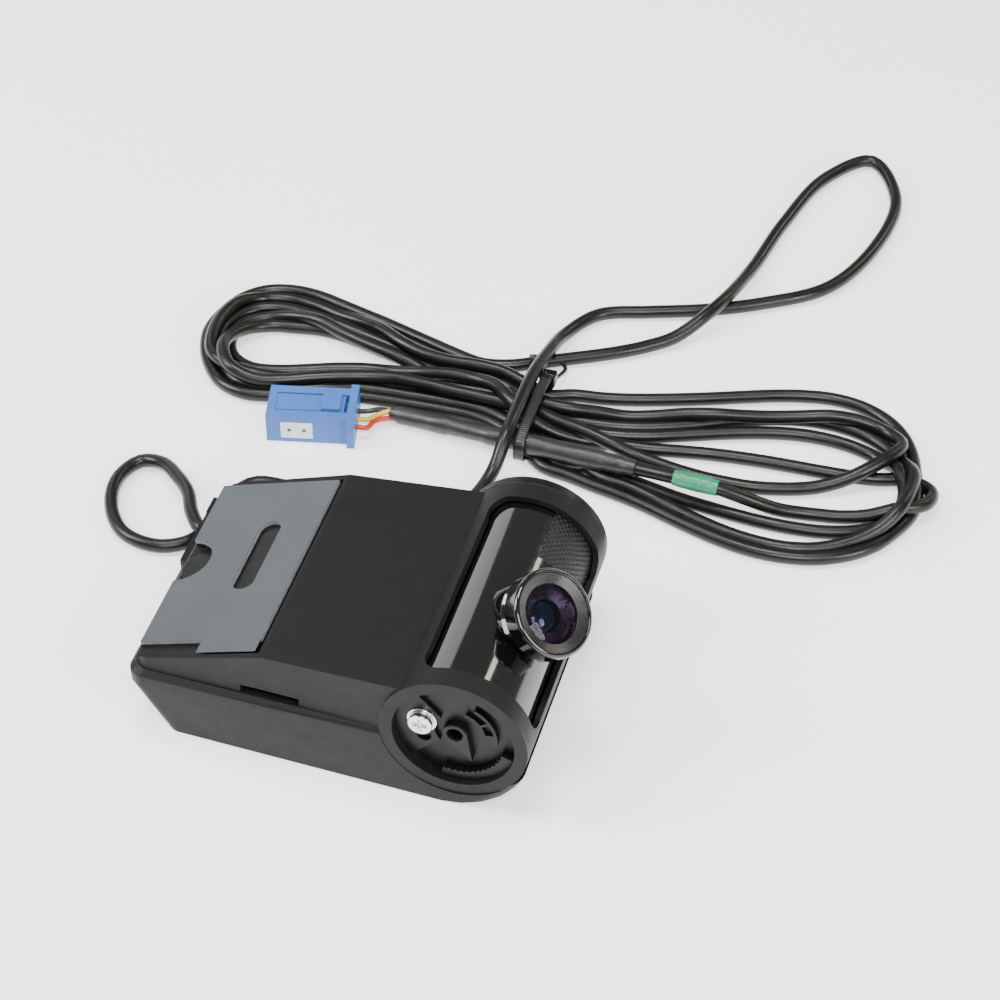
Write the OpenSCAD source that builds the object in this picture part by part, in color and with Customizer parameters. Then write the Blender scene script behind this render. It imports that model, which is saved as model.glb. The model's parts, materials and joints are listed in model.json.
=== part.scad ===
// Windscreen camera: a wedge-shaped housing with a tilting lens barrel across its front,
// a slide-off mount plate on its rear slope, and a cord wound into a hank with its connector.
// The origin is the centre of the housing's footprint, at the surface it stands on.
// +X points towards the lens, +Y runs along the barrel, +Z is up.

/* [Housing] */
// Height of the seam between the lower shell and the upper cover
seam_z = 18.6; // [18.4:0.1:18.8]
// Height of the flat roof at its front
roof_z = 32.8; // [32.2:0.1:33.4]
// Height of the ridge between the roof and the rear slope
ridge_z = 31.3; // [31:0.1:31.6]
// Half the housing's width at the rear
half_rear = 30.2; // [29.9:0.1:30.4]
// Half the housing's width at the ridge
half_ridge = 31; // [30.8:0.1:31.4]
// Half the barrel housing's length, between its end faces
half_front = 33.2; // [33:0.1:33.6]
// Wall thickness of the two shells
wall = 2; // [1.8:0.1:2.2]

/* [Barrel] */
// Outer radius of the barrel housing
house_r = 17; // [16.9:0.1:17.2]
// Radius of the chamber that the barrel turns in
chamber_r = 15.6; // [15.6:0.05:15.7]
// Outer radius of the lens barrel
barrel_r = 15.2; // [15:0.1:15.3]
// Height of the barrel's axis
axis_z = 20.6; // [20.4:0.1:20.8]
// Elevation of the lens above +X at rest, in degrees
lens_tilt = 48.8; // [46:0.2:51]
// Angle that the lens is turned towards -Y, in degrees
lens_yaw = 16; // [12:1:18]

/* [Mount plate] */
// Depth of the pocket in the rear slope
pocket_depth = 2; // [1.9:0.1:2.1]
// Radius of the release button
button_r = 5.6; // [5.2:0.1:5.8]

/* [Cord] */
// Diameter of the cord
cord_d = 3.5; // [3.4:0.05:3.5]
// Height of the hank, two turns deep
hank_h = 6; // [5.6:0.1:6]

/* [Hidden] */
$fn = 64;

// Moves the whole model so that the origin is the centre of the camera's footprint
stand = [0.2, -1.39, 0];
// Position along X of the barrel's axis
axis_x = 28.1;
// Rear face of the upper cover, and the ridge
rear_x = -47.9;
ridge_x = -16.3;
// Where the roof meets the barrel housing
roof_x = axis_x - 6;
// Plane of the rear slope: the point where the mount plate's edge lies, and its angle
slope_x = rear_x;
slope_z = 21.1;
slope = atan2(ridge_z - slope_z, ridge_x - slope_x);
slope_len = norm([ridge_x - slope_x, ridge_z - slope_z]);
// A point in the XZ plane, u along the slope and w out of it
function on_slope(u, w) =
    [slope_x + u * cos(slope) - w * sin(slope), slope_z + u * sin(slope) + w * cos(slope)];
// Height of a line parallel to the slope, at depth w, above the point x
function slope_height(x, w) = slope_z + (x - slope_x) * tan(slope) + w / cos(slope);

// Rear corner radius, overhang of the rim band beyond the cover and the band's lower edge
corner_r = 4;
band_out = 1.5;
band_z = 14.5;
// Front lip of the lower shell: its height and reach, and the radii of its chin and its corners
lip_z = 9.4;
lip_x = 43.4;
chin_r = 14;
nose_r = 5;
// Rear edge of the base
base_x = -42;
// Barrel housing: inner face of its near wall, radius of its open well, start of the far cap
near_y = -29.2;
well_r = 14;
cap_y = 30.2;
// Window over the barrel: angles above +X, ends along Y, corner radius
window_from = 3;
window_to = 121;
window_near = -28;
window_far = 28.4;
window_corner = 4.5;
// Barrel: ends, wall, faces of its end plate, radius of the shaft at the far end
barrel_near = -28.9;
barrel_far = 29.8;
barrel_wall = 1.4;
plate_face = -29.9;
shaft_r = 6;
shaft_fit = 0.05;
// Lock screw: place on the end plate, shank radius; the slot that it slides along
screw_at = 165;
screw_ring = 7.9;
screw_r = 1.5;
slot_from = 154;
slot_to = 202;
// Lens pod: where its axis crosses the barrel's axis, distances along its own axis
lens_y = 0.6;
pod_base_r = 9.6;
pod_neck_r = 8.8;
pod_spigot_r = 8.5;
bezel_r = 10.2;
bezel_front = 24.5;
lens_bore = 7.15;
// Grip panel on the barrel
panel_from = -38;
panel_to = 66;
panel_near = 13.4;
// Mount plate: ends along the slope, thickness of plate, pad and film, and its cut-outs
plate_len = 31;
plate_near = -29;
plate_far = 29;
plate_gap = 0.25;
plate_t = 0.95;
pad_t = 0.9;
film_t = 0.15;
plate_top = plate_t + plate_gap - pocket_depth;
pad_near = -25;
tab_from = 16;
notch_y = 2.4;
notch_r = 6.9;
hole_u = 18.9;
hole_y = 3.3;
hole_l = 23.2;
hole_w = 5.5;
rail_y = 21;
rail_from = 2;
rail_to = 24;
rail_drop = 0.9;
// Release button
button_u = 4.4;
stem_r = 1.6;
// Cable cover on the rear wall and the gland in it
boss_x = -50.7;
boss_near = 6;
boss_far = 28.5;
gland_y = 25;
gland_z = 9;
gland_x = -51.5;
gland_r = 3;
// Circuit board
board_z = 19;
board_t = 1.2;
board_rear = -33;
board_front = 6;
board_half = 28.4;
slot_rear = -22;
slot_front = -8;
socket_front = -13.4;
// Case screws
post_at = [[-29, -23], [-29, 23], [4, -24], [4, 24]];
post_r = 3;
post_base_r = 4.2;
// Connector: centre, yaw, size
plug_at = [-43.2, 77.7, 0];
plug_yaw = 12;
plug_l = 22.6;
plug_w = 12;
plug_h = 8.4;
latch_root = -9.2;
// Its three wires: places across the connector, height, and offsets where they enter the sleeve
pin_y = [-3, 0, 3];
pin_z = 3.4;
wire_bunch = [[0, -1.4, -0.8], [0, 0, 1.1], [0, 1.4, -0.8]];

// Route of the cord from its gland, round the rear corner, over the hank, out in a loop and back
lead_route = [[-49.5, 25, 9], [-53.5, 25.5, 9], [-57.5, 30, 8.6], [-62, 38.5, 7.2], [-67.5, 45, 5.4],
              [-74, 50.8, 3.2], [-80, 51.2, 1.9], [-83.2, 44, 1.8], [-81, 34, 1.8], [-74, 25.5, 1.8],
              [-64.1, 23.8, 1.8], [-57, 28.5, 1.8], [-54, 43, 1.8], [-50, 51.5, 1.8], [-38, 52.5, 1.8],
              [-6, 51, 1.8], [3, 59, 1.8], [6.6, 70, 3.4], [7.8, 78, 8.8], [7.9, 86, 9.7],
              [7.7, 104, 8.3], [8.2, 117, 5.4], [9.5, 129, 2.2], [16, 140, 1.8], [29, 145, 1.8],
              [43, 150, 1.8], [57, 157, 1.8], [72, 168, 1.8], [81, 188, 1.8], [83, 213, 1.8],
              [73, 229, 1.8], [62, 217, 1.8], [55, 193, 1.8], [51, 170, 2.2], [46, 147, 5.6],
              [38, 136, 2.4], [26, 127, 1.8], [11, 119, 1.8], [0, 113.5, 1.8], [-12, 107, 2.5]];
// Route of the cord's other end, over the hank to the heat shrink
tail_route = [[41, 78.3, 6.6], [46, 77.3, 7.4], [52, 75.9, 8.4], [63, 75, 8.4], [76, 77, 8.2],
              [90, 84, 4]];
// Centres of the hank's round edge
hank_r = 4;
hank_edge = [[-77, 102], [-74, 112], [-68, 119], [-60, 121], [-46, 117], [-20, 108], [5, 101],
             [16, 100.5], [30, 102], [53, 107], [77, 115], [90, 117], [100, 112], [108, 98],
             [109, 90], [101, 76], [90, 67], [78, 66], [64, 69], [57, 75], [51, 85], [30, 88],
             [15, 90], [0, 93], [-20, 94], [-36, 93], [-50, 90], [-66, 87], [-74, 93]];
// Sleeve over the joint between the cord and the connector's wires
sleeve_from = [-24, 85.4, 2.8];
sleeve_to = [12.5, 81, 5.4];
tie_x = 9.8;
tie_w = 3;

// Points along an arc
function arc(centre, r, from, to, n) =
    [for (i = [0:n]) centre + r * [cos(from + (to - from) * i / n), sin(from + (to - from) * i / n)]];

// Plan outline of the housing: straight sides with a bend at the ridge, round rear corners
// and, where nose isn't zero, round front corners
function plan(rear, half_r, half_m, half_f, front, r, nose = 0) =
    concat(nose == 0 ? [[front, -half_f], [front, half_f]]
                     : concat(arc([front - nose, -half_f + nose], nose, -90, 0, 6),
                              arc([front - nose, half_f - nose], nose, 0, 90, 6)),
           [[ridge_x, half_m]], arc([rear + r, half_r - r], r, 90, 180, 8),
           arc([rear + r, -half_r + r], r, 180, 270, 8), [[ridge_x, -half_m]]);

// A smooth curve through points: the position between a[i] and a[i + 1]
function mix(a, b, c, d, t) =
    0.5 * (2 * b + (c - a) * t + (2 * a - 5 * b + 4 * c - d) * t * t + (3 * b - a - 3 * c + d) * t * t * t);
function raised(p) = [p[0], p[1], max(p[2], cord_d / 2)];
function smooth(p, n) =
    concat([for (i = [0:len(p) - 2], k = [0:n - 1])
               raised(mix(p[max(i - 1, 0)], p[i], p[i + 1], p[min(i + 2, len(p) - 1)], k / n))],
           [p[len(p) - 1]]);
// Unit vectors along a path and across it
function along(p, i) = let (d = p[min(i + 1, len(p) - 1)] - p[max(i - 1, 0)]) d / norm(d);
function across(t) = let (s = cross(t, [0, 0, 1])) s / norm(s);

// Tube of eight sides swept along a path
module tube(path, r) {
    sides = 8;
    rings = len(path);
    points = [for (i = [0:rings - 1]) let (t = along(path, i), s = across(t), u = cross(s, t))
              for (k = [0:sides - 1]) path[i] + r * (s * cos(45 * k + 22.5) + u * sin(45 * k + 22.5))];
    skin = [for (i = [0:rings - 2], k = [0:sides - 1])
            [i * sides + k, i * sides + (k + 1) % sides,
             (i + 1) * sides + (k + 1) % sides, (i + 1) * sides + k]];
    near_end = [[for (k = [0:sides - 1]) sides - 1 - k]];
    far_end = [[for (k = [0:sides - 1]) (rings - 1) * sides + k]];
    polyhedron(points, concat(skin, near_end, far_end));
}

// Round rod between two points
module rod(from, to, r) {
    d = to - from;
    translate(from) rotate([0, acos(d[2] / norm(d)), atan2(d[1], d[0])]) cylinder(r = r, h = norm(d));
}

// Cylinder along Y about the barrel's axis
module disc(r, from, to) {
    translate([axis_x, from, axis_z]) rotate([-90, 0, 0]) cylinder(r = r, h = to - from);
}

// Ring sector about the barrel's axis, between two angles above +X
module sector(r_in, r_out, from, to, a_from, a_to) {
    translate([axis_x, 0, axis_z]) rotate([-90, 0, 0]) rotate([0, 0, -a_to])
        rotate_extrude(angle = a_to - a_from) translate([r_in, from]) square([r_out - r_in, to - from]);
}

// Cylinder along Y at a radius and angle from the barrel's axis
module peg(ring, angle, r, from, to) {
    translate([axis_x + ring * cos(angle), from, axis_z + ring * sin(angle)])
        rotate([-90, 0, 0]) cylinder(r = r, h = to - from);
}

// Frame of the lens: +Z along the lens axis
module on_lens() {
    translate([axis_x, lens_y, axis_z]) rotate([lens_yaw, 90 - lens_tilt, 0]) children();
}

// Frame of the rear slope: +X up the slope, +Z out of it
module on_plate() {
    translate([slope_x, 0, slope_z]) rotate([0, -slope, 0]) children();
}

// Prism along Y from an outline in the XZ plane
module prism(points, half) {
    translate([0, half, 0]) rotate([90, 0, 0]) linear_extrude(2 * half) polygon(points);
}

// Block between two corners
module block(low, high) {
    translate(low) cube(high - low);
}

module cover_block() {
    intersection() {
        prism([[rear_x, seam_z], [rear_x, slope_height(rear_x, 0)], [ridge_x, ridge_z],
               [roof_x, roof_z], [roof_x, seam_z]], 50);
        linear_extrude(60) polygon(plan(rear_x, half_rear, half_ridge, half_front, axis_x, corner_r));
    }
}

module cover_cavity() {
    skin = pocket_depth + 2.3;
    front = axis_x - house_r - 1.5;
    rear = -41.4;
    intersection() {
        prism([[rear, seam_z - 1], [rear, slope_height(rear, -skin)], on_slope(slope_len, -skin),
               [ridge_x + 1.5, ridge_z - wall], [front, roof_z - wall - 0.4], [front, seam_z - 1]], 50);
        linear_extrude(60)
            polygon(plan(rear, half_rear - wall + 0.4, half_ridge - wall,
                         half_front - wall - 0.8, front, 3));
    }
}

// Grooves for the mount plate's two rails, open to the rear
module rail_slots() {
    on_plate() for (y = [-rail_y, rail_y])
        block([-9, y - 2.2, -pocket_depth - rail_drop - 0.3], [rail_to + 1.5, y + 2.2, 0]);
}

// Seat that the release button is pressed into
module button_seat() {
    on_plate() translate([button_u, notch_y, -pocket_depth - 1.6]) cylinder(r = button_r + 0.25, h = 4);
}

// Window with rounded corners over the barrel
module window_cut() {
    turn = window_corner / house_r * 180 / PI;
    sector(well_r, house_r + 3, window_near + window_corner, window_far - window_corner,
           window_from, window_to);
    sector(well_r, house_r + 3, window_near, window_far, window_from + turn, window_to - turn);
    for (y = [window_near + window_corner, window_far - window_corner],
         a = [window_from + turn, window_to - turn])
        translate([axis_x, y, axis_z]) rotate([0, 90 - a, 0]) translate([0, 0, well_r - 1])
            cylinder(r = window_corner + 0.05, h = 6);
}

module upper_cover() translate(stand) color([0.17, 0.17, 0.17]) {
    difference() {
        union() {
            difference() {
                cover_block();
                cover_cavity();
            }
            disc(house_r, -half_front, half_front);
            for (p = post_at) translate([p[0], p[1], board_z]) cylinder(r = post_r, h = p[0] < 0 ? 4.5 : 12);
        }
        disc(chamber_r, near_y, half_front + 1);
        disc(well_r, -half_front - 1, near_y + 1);
        window_cut();
        rail_slots();
        button_seat();
        // Pocket for the mount plate, open to the rear, and the hole for the button's stem
        on_plate() {
            block([-9, -29.4, -pocket_depth], [slope_len - 1.2, 29.35, 6]);
            translate([button_u, notch_y, -8]) cylinder(r = stem_r + 0.05, h = 12);
        }
        // Mouth of the card slot at the seam
        block([slot_rear, -40, seam_z - 1], [slot_front, -28, seam_z + 2.3]);
        for (p = post_at) translate([p[0], p[1], board_z - 1]) cylinder(r = 1.1, h = 4.2);
    }
}

// One level of the lower shell: its height, depth, rear and front ends and half-widths
module level(z, h, rear, out, front) {
    translate([0, 0, z]) linear_extrude(h)
        polygon(plan(rear, half_rear + out, half_ridge + out, half_front + out * 0.5, front,
                     corner_r, nose_r));
}

// Solid under the seam: a slanted tub with a rounded chin and a wider band along its top
module shell_block() {
    hull() {
        for (a = [90:-15:30]) let (z = chin_r - chin_r * sin(a))
            level(z, 0.1, base_x - z * 0.5, 0.4 + z * 0.05, axis_x + 2 + chin_r * cos(a));
        level(lip_z, 0.1, base_x - lip_z * 0.5, 0.9, lip_x);
        level(band_z, 2.9, rear_x - band_out, 1.6, lip_x);
        level(seam_z - 0.1, 0.1, rear_x - 0.2, 0.2, lip_x);
    }
}

module shell_cavity() {
    hull() {
        translate([0, 0, wall]) linear_extrude(0.1) polygon(plan(base_x + 2.6, 28.4, 29.2, 29.6, 15.5, 3));
        translate([0, 0, seam_z]) linear_extrude(0.1) polygon(plan(rear_x + 2.4, 28.4, 29.4, 30.6, 9, 3));
    }
}

module lower_shell() translate(stand) color([0.16, 0.16, 0.16]) {
    difference() {
        union() {
            difference() {
                shell_block();
                shell_cavity();
            }
            for (p = post_at) translate([p[0], p[1], 0]) cylinder(r = post_base_r, h = board_z);
            block([boss_x, boss_near, 4.6], [rear_x + 4, boss_far, seam_z - 1.2]);
        }
        disc(house_r + 0.02, -60, 60);
        rail_slots();
        button_seat();
        block([axis_x, -50, lip_z], [60, 50, 30]);
        for (p = post_at) translate([p[0], p[1], -1]) {
            cylinder(r = 1.3, h = 30);
            cylinder(r = 2.4, h = 3.1);
        }
        translate([boss_x - 3, gland_y, gland_z]) rotate([0, 90, 0]) cylinder(r = 2.4, h = 13);
    }
}

module far_end_cap() translate(stand) color([0.2, 0.2, 0.2]) {
    rim = 1.4;
    cap_h = 3.2;
    difference() {
        translate([axis_x, half_front, axis_z]) rotate([-90, 0, 0])
            rotate_extrude()
                polygon(concat([[0, 0], [house_r, 0]],
                               arc([house_r - rim, cap_h - rim], rim, 0, 90, 6), [[0, cap_h]]));
        disc(shaft_r + 2.2, half_front - 1, half_front + 1.4);
    }
    difference() {
        disc(chamber_r - 0.05, cap_y, half_front);
        disc(shaft_r + shaft_fit, cap_y - 1, half_front + 1);
    }
}

// Toothed quadrant that the pointer is read against
module index_scale() translate(stand) color([0.15, 0.15, 0.15]) {
    first = -104;
    last = -18;
    pitch = 7;
    difference() {
        sector(11.2, well_r, -31.8, -30.3, first, last);
        for (a = [first + pitch / 2:pitch:last]) peg(11.2, a, 0.4, -33, -29.9);
    }
}

// Fixed tab over the end plate, with the curved slot for the lock screw
module lock_tab() translate(stand) color([0.13, 0.13, 0.13]) {
    difference() {
        sector(4.8, well_r, -30.9, -30, slot_from - 22, slot_to + 22);
        sector(screw_ring - screw_r - 0.15, screw_ring + screw_r + 0.15, -32, -29, slot_from, slot_to);
        for (a = [slot_from, slot_to]) peg(screw_ring, a, screw_r + 0.15, -32, -29);
    }
}

module main_board() translate(stand) color([0.05, 0.28, 0.12]) {
    difference() {
        block([board_rear, -board_half, board_z], [board_front, board_half, board_z + board_t]);
        for (p = post_at) translate([p[0], p[1], board_z - 1]) cylinder(r = post_r + 0.4, h = 4);
        block([slot_rear - 0.4, -board_half - 1, board_z - 1], [socket_front + 0.2, -14, board_z + 3]);
    }
}

module processor_shield() translate(stand) color([0.75, 0.75, 0.74]) {
    block([-14, -10, board_z + board_t], [4, 8, board_z + board_t + 2.4]);
}

module backup_capacitors() translate(stand) color([0.1, 0.12, 0.2]) {
    for (y = [-12, 4]) translate([-20, y, 9]) rotate([0, 90, 0]) cylinder(r = 4.2, h = 20);
}

module card_socket() translate(stand) color([0.7, 0.7, 0.68]) {
    difference() {
        block([slot_rear, -board_half, board_z - 0.3], [socket_front, -14, board_z + 1.7]);
        block([slot_rear + 0.5, -board_half - 1, board_z + 0.1], [socket_front - 0.5, -15, board_z + 1.3]);
    }
}

module cord_socket() translate(stand) color([0.88, 0.86, 0.8]) {
    block([-32, 8, board_z - 6], [-26.5, 17.4, board_z]);
}

module flex_cable() translate(stand) color([0.75, 0.42, 0.12]) {
    block([-4, 9, board_z + board_t], [9.2, 17, board_z + board_t + 0.3]);
}

module case_screws() translate(stand) color([0.6, 0.6, 0.62]) {
    for (p = post_at) translate([p[0], p[1], 0.5]) {
        difference() {
            cylinder(r = 2.2, h = 1.6);
            translate([0, 0, -0.1]) cylinder(r = 0.9, h = 0.9);
        }
        cylinder(r = 1.1, h = 21.2);
    }
}

module friction_washer() translate(stand) color([0.78, 0.78, 0.76]) {
    difference() {
        disc(9.5, barrel_far + 0.08, cap_y - 0.08);
        disc(shaft_r + 0.3, barrel_far, cap_y);
    }
}

module cord_gland() translate(stand) color([0.07, 0.07, 0.07]) {
    translate([gland_x, gland_y, gland_z]) rotate([0, 90, 0]) difference() {
        union() {
            cylinder(r1 = 2.5, r2 = gland_r, h = boss_x - gland_x);
            cylinder(r = 2.4, h = boss_x - gland_x + 5);
        }
        translate([0, 0, -1]) cylinder(r = cord_d / 2 + 0.05, h = 12);
    }
}

// Seat for the grip panel, cut round the lens pod
module panel_band(r_in, r_out, margin) {
    difference() {
        sector(r_in, r_out, panel_near - margin, barrel_far + 1, panel_from - margin, panel_to + margin);
        on_lens() cylinder(r = 11.6 - margin, h = 40);
    }
}

module lens_barrel() translate(stand) color([0.03, 0.03, 0.035]) {
    difference() {
        union() {
            disc(barrel_r, barrel_near, barrel_far);
            disc(shaft_r, barrel_far, half_front + 0.6);
        }
        disc(barrel_r - barrel_wall, barrel_near - 1, barrel_far - 1.6);
        disc(4, barrel_far - 2, half_front + 2);
        on_lens() cylinder(r = pod_spigot_r, h = 30);
        panel_band(barrel_r - 0.7, barrel_r + 2, 0);
    }
}

module barrel_end_plate() translate(stand) color([0.14, 0.14, 0.145]) {
    difference() {
        union() {
            disc(well_r - shaft_fit, plate_face, barrel_near);
            disc(barrel_r - barrel_wall, barrel_near - 0.2, barrel_near + 2);
            sector(8.8, 9.6, plate_face - 1.2, plate_face + 0.2, -12, 62);
            sector(6, 6.8, plate_face - 1, plate_face + 0.2, 2, 70);
            sector(6.6, 9, plate_face - 1, plate_face + 0.2, 4, 9);
            sector(6.6, 9, plate_face - 1, plate_face + 0.2, 30, 35);
        }
        peg(screw_ring, screw_at, screw_r + shaft_fit, plate_face - 2, 0);
        disc(1.8, plate_face - 3, 0);
    }
}

// Raised teardrop whose tip is read against the scale
module angle_pointer() translate(stand) color([0.2, 0.2, 0.2]) {
    tip = 8.6;
    at = -62;
    side = acos(2.9 / tip);
    difference() {
        translate([axis_x, plate_face, axis_z]) rotate([90, 0, 0]) linear_extrude(1.8) {
            circle(r = 2.9);
            polygon([2.9 * [cos(at + side), sin(at + side)], 2.9 * [cos(at - side), sin(at - side)],
                     tip * [cos(at), sin(at)]]);
        }
        disc(1.8, plate_face - 3, 0);
    }
}

module grip_panel() translate(stand) color([0.11, 0.11, 0.11]) {
    difference() {
        sector(barrel_r - 0.7, barrel_r, panel_near, barrel_far, panel_from, panel_to);
        on_lens() cylinder(r = 11.6, h = 40);
    }
}

module pod_housing() translate(stand) color([0.03, 0.03, 0.035]) {
    difference() {
        on_lens() rotate_extrude()
            polygon([[lens_bore, 11.5], [pod_base_r, 11.5], [pod_base_r, 17.3], [pod_neck_r, 17.9],
                     [pod_neck_r, 20.2], [lens_bore, 20.2]]);
        disc(barrel_r, -40, 40);
    }
    on_lens() difference() {
        cylinder(r = pod_spigot_r, h = 15.3);
        translate([0, 0, -1]) cylinder(r = lens_bore, h = 20);
        translate([0, 0, -1]) cylinder(r = 20, h = 12.5);
    }
}

module pod_bezel() translate(stand) color([0.04, 0.04, 0.045]) {
    round_r = 1;
    on_lens() rotate_extrude()
        polygon(concat([[pod_neck_r, 19.2], [bezel_r - 0.5, 19.2], [bezel_r, 19.8]],
                       arc([bezel_r - round_r, bezel_front - round_r], round_r, 0, 90, 6),
                       [[9.05, bezel_front - 0.2], [9.05, 21.6], [pod_neck_r, 21.6]]));
}

module lens_hood() translate(stand) color([0.25, 0.25, 0.26]) {
    on_lens() rotate_extrude() polygon([[6.8, 21.9], [9.05, 21.9], [9.05, 24.1], [6.8, 23.1]]);
}

module front_lens() translate(stand) color([0.3, 0.3, 0.38, 0.4]) {
    on_lens() intersection() {
        translate([0, 0, 23.2 - 18]) sphere(r = 18, $fn = 96);
        translate([0, 0, 21.3]) cylinder(r = 6.8, h = 4);
    }
}

module lens_baffle() translate(stand) color([0.08, 0.05, 0.08]) {
    on_lens() rotate_extrude() polygon([[3.7, 19.9], [7.1, 19.9], [7.1, 21.2], [6.6, 21.2], [3.7, 20.4]]);
}

module inner_lens() translate(stand) color([0.2, 0.3, 0.4, 0.5]) {
    on_lens() intersection() {
        translate([0, 0, 21 - 5.5]) sphere(r = 5.5, $fn = 96);
        translate([0, 0, 18.4]) cylinder(r = 3.6, h = 4);
    }
}

module lens_tube() translate(stand) color([0.05, 0.05, 0.05]) {
    on_lens() difference() {
        translate([0, 0, 3]) cylinder(r = 7.1, h = 16.85);
        translate([0, 0, 2]) cylinder(r = 3.6, h = 20);
        translate([0, 0, 2]) cylinder(r = 5.4, h = 3);
    }
}

module image_sensor() translate(stand) color([0.15, 0.12, 0.2]) {
    on_lens() translate([-3.4, -2.8, 2]) cube([6.8, 5.6, 1]);
}

module sensor_board() translate(stand) color([0.05, 0.28, 0.12]) {
    on_lens() translate([-7, -7, 1]) cube([14, 14, 1]);
}

// Pan head screw with a cross recess
module lock_screw() translate(stand) color([0.85, 0.85, 0.83]) {
    difference() {
        union() {
            peg(screw_ring, screw_at, 2.8, -32.9, -31.2);
            peg(screw_ring, screw_at, screw_r, -31.2, -26.4);
        }
        translate([axis_x + screw_ring * cos(screw_at), -33, axis_z + screw_ring * sin(screw_at)]) {
            block([-1.6, -1, -0.35], [1.6, 1, 0.35]);
            block([-0.35, -1, -1.6], [0.35, 1, 1.6]);
        }
    }
}

module lock_washer() translate(stand) color([0.8, 0.8, 0.78]) {
    difference() {
        peg(screw_ring, screw_at, 3.4, -31.2, -30.95);
        peg(screw_ring, screw_at, screw_r, -32, -30);
    }
}

// Cut-outs shared by the plate, the pad and the film: the round notch and the long hole
module plate_holes() {
    translate([0, notch_y, -5]) cylinder(r = notch_r, h = 12);
    block([-9, notch_y - notch_r, -5], [0, notch_y + notch_r, 7]);
    for (s = [-1, 1]) translate([hole_u, hole_y + s * (hole_l - hole_w) / 2, -5])
        cylinder(r = hole_w / 2, h = 12);
    block([hole_u - hole_w / 2, hole_y - (hole_l - hole_w) / 2, -5],
          [hole_u + hole_w / 2, hole_y + (hole_l - hole_w) / 2, 7]);
}

module mount_bracket() translate(stand) color([0.12, 0.12, 0.12]) {
    on_plate() {
        difference() {
            block([0, plate_near, plate_gap - pocket_depth], [plate_len, plate_far, plate_top]);
            translate([0, notch_y, -5]) cylinder(r = notch_r, h = 12);
            block([-9, notch_y - notch_r, -5], [0.01, notch_y + notch_r, 7]);
        }
        for (y = [-rail_y, rail_y])
            block([rail_from, y - 1.9, -pocket_depth - rail_drop],
                  [rail_to, y + 1.9, plate_gap - pocket_depth + 0.1]);
    }
}

module adhesive_pad() translate(stand) color([0.45, 0.47, 0.48]) {
    on_plate() difference() {
        block([0, pad_near, plate_top], [plate_len, plate_far, plate_top + pad_t]);
        plate_holes();
    }
}

module release_liner() translate(stand) color([0.47, 0.49, 0.5]) {
    on_plate() difference() {
        union() {
            block([0, pad_near, plate_top + pad_t], [plate_len, plate_far, plate_top + pad_t + film_t]);
            block([tab_from, plate_near, plate_top + pad_t],
                  [plate_len, pad_near + 1, plate_top + pad_t + film_t]);
        }
        plate_holes();
    }
}

module release_button() translate(stand) color([0.22, 0.22, 0.22]) {
    on_plate() translate([button_u, notch_y, 0]) {
        translate([0, 0, -pocket_depth - 0.3]) cylinder(r = button_r, h = 0.45);
        translate([0, 0, -pocket_depth - 3.2]) cylinder(r = stem_r, h = 3);
    }
}

module cord_lead() translate(stand) color([0.09, 0.09, 0.085]) {
    tube(smooth(lead_route, 2), cord_d / 2);
}

module cord_hank() translate(stand) color([0.09, 0.09, 0.085]) {
    difference() {
        linear_extrude(hank_h) offset(r = hank_r, $fn = 32) polygon(hank_edge);
        block([tie_x - 0.3, 70, -1], [tie_x + tie_w + 0.3, 120, 0.9]);
    }
}

module cord_tail() translate(stand) color([0.09, 0.09, 0.085]) {
    tube(tail_route, cord_d / 2);
}

module cable_tie() translate(stand) color([0.07, 0.07, 0.07]) {
    strap = 0.8;
    low = [tie_x, 77.4, 0];
    high = [tie_x + tie_w, 106, 9.2];
    difference() {
        block(low, high);
        block([tie_x - 1, low[1] + strap, strap], [tie_x + tie_w + 1, high[1] - strap, high[2] - strap]);
    }
}

module wrap_sleeve() translate(stand) color([0.13, 0.12, 0.12]) {
    rod(sleeve_from, sleeve_to, 2.6);
}

module heat_shrink() translate(stand) color([0.12, 0.115, 0.11]) {
    rod(sleeve_to, tail_route[0], 2.7);
}

module marker_tape() translate(stand) color([0.1, 0.55, 0.36]) {
    difference() {
        rod(tail_route[2], tail_route[3], 2.2);
        rod(tail_route[2] - [1, -0.1, 0], tail_route[3] + [1, -0.1, 0], cord_d / 2 + 0.05);
    }
}

module on_plug() {
    translate(plug_at) rotate([0, 0, plug_yaw]) children();
}

module connector_housing() translate(stand) color([0.25, 0.42, 0.75]) {
    on_plug() difference() {
        union() {
            block([-plug_l / 2, -plug_w / 2, 0], [plug_l / 2, plug_w / 2, plug_h - 2.6]);
            block([-plug_l / 2, -plug_w / 2, 0], [latch_root - 0.05, plug_w / 2, plug_h]);
            block([-plug_l / 2, -plug_w / 2, 0], [plug_l / 2, -plug_w / 2 + 2.6, plug_h]);
            block([-plug_l / 2, plug_w / 2 - 2.6, 0], [plug_l / 2, plug_w / 2, plug_h]);
            block([plug_l / 2 - 2, -plug_w / 2 - 1.6, 0], [plug_l / 2, plug_w / 2 + 1.6, plug_h]);
        }
        // Terminal passages and the seat for the retainer
        for (y = pin_y) translate([-plug_l / 2 - 1, y, pin_z]) rotate([0, 90, 0])
            cylinder(r = 1, h = plug_l + 2);
        block([-7.6, -plug_w / 2 - 1, 1.2], [0.6, -plug_w / 2 + 0.5, 6.4]);
    }
}

module connector_retainer() translate(stand) color([0.85, 0.86, 0.84]) {
    on_plug() difference() {
        block([-7.6, -plug_w / 2, 1.2], [0.6, -plug_w / 2 + 0.5, 6.4]);
        for (x = [-5.4, -1.6]) translate([x, -plug_w / 2 - 1, 3.8]) rotate([-90, 0, 0])
            cylinder(r = 0.5, h = 1.2);
    }
}

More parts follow.
